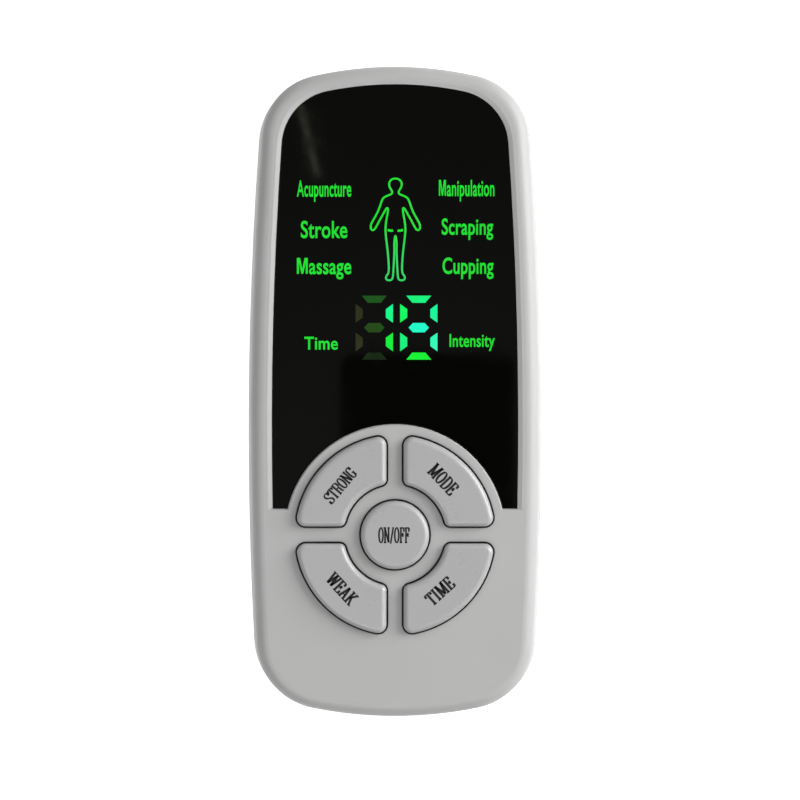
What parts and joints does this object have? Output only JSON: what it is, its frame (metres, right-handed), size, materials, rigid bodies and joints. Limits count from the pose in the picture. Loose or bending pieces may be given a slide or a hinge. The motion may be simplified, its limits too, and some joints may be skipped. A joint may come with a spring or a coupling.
{
  "type": "tens unit",
  "caption": "Hand-held nerve and muscle stimulator with a smoked display window, ring of sprung keys, lead sockets and a sliding battery door.",
  "frame": {"origin": "On the plane of the back, at the middle of the body's length and width; the unit lies on its back.", "axes": "+X to the right of the display, +Y along the body towards the socket end, +Z out of the display."},
  "size_m": [0.0588, 0.13, 0.0242],
  "materials": {
    "white_abs": "fine satin texture, off-white ABS",
    "key_abs": "smooth satin off-white ABS",
    "smoked_acrylic": "polished, near-black smoked acrylic",
    "tape": "black adhesive tape",
    "film": "printed black mask film",
    "white_housing": "white reflector housing",
    "led": "clear green chip LED",
    "board": "green solder mask",
    "black_plastic": "moulded black plastic",
    "plunger_plastic": "natural nylon",
    "transformer": "ferrite core and taped bobbin",
    "sleeve": "dark shrink sleeve",
    "tin": "tin plate",
    "cell": "printed sleeve over steel can",
    "nickel": "nickel-plated steel",
    "screw": "zinc-plated steel",
    "label": "blank white foil"
  },
  "bodies": {
    "body": {"upper_case": "white_abs", "lower_case": "white_abs", "rating_label": "label", "display_window": "smoked_acrylic", "window_tape": "tape", "display_module": "white_housing", "display_leds": "led", "display_film": "film", "switch_bodies": "black_plastic", "main_board": "board", "microcontroller": "black_plastic", "output_transformers": "transformer", "capacitors": "sleeve", "buzzer": "black_plastic", "crystal": "tin", "transistors": "black_plastic", "chip_resistors": "black_plastic", "left_jack": "black_plastic", "right_jack": "black_plastic", "usb_socket": "tin", "cell_left": "cell", "cell_middle": "cell", "cell_right": "cell", "cell_springs": "nickel", "bridge_plates": "nickel", "terminal_plates": "nickel", "case_screws": "screw", "board_screws": "screw"},
    "door": {"battery_door": "white_abs"},
    "strong_button": {"strong_key": "key_abs", "strong_plunger": "plunger_plastic"},
    "mode_button": {"mode_key": "key_abs", "mode_plunger": "plunger_plastic"},
    "weak_button": {"weak_key": "key_abs", "weak_plunger": "plunger_plastic"},
    "time_button": {"time_key": "key_abs", "time_plunger": "plunger_plastic"},
    "power_button": {"power_key": "key_abs", "power_plunger": "plunger_plastic"}
  },
  "joints": [
    {"name": "battery_door_slide", "type": "slide", "parent": "body", "child": "door", "axis": [0, -1, 0], "range_m": [0, 0.062]},
    {"name": "strong_key_press", "type": "slide", "parent": "body", "child": "strong_button", "axis": [0, 0, -1], "range_m": [0, 0.0003], "stiffness_N_per_m": 4000, "springref_m": -0.0001},
    {"name": "mode_key_press", "type": "slide", "parent": "body", "child": "mode_button", "axis": [0, 0, -1], "range_m": [0, 0.0003], "stiffness_N_per_m": 4000, "springref_m": -0.0001},
    {"name": "weak_key_press", "type": "slide", "parent": "body", "child": "weak_button", "axis": [0, 0, -1], "range_m": [0, 0.0003], "stiffness_N_per_m": 4000, "springref_m": -0.0001},
    {"name": "time_key_press", "type": "slide", "parent": "body", "child": "time_button", "axis": [0, 0, -1], "range_m": [0, 0.0003], "stiffness_N_per_m": 4000, "springref_m": -0.0001},
    {"name": "power_key_press", "type": "slide", "parent": "body", "child": "power_button", "axis": [0, 0, -1], "range_m": [0, 0.0003], "stiffness_N_per_m": 4000, "springref_m": -0.0001}
  ]
}
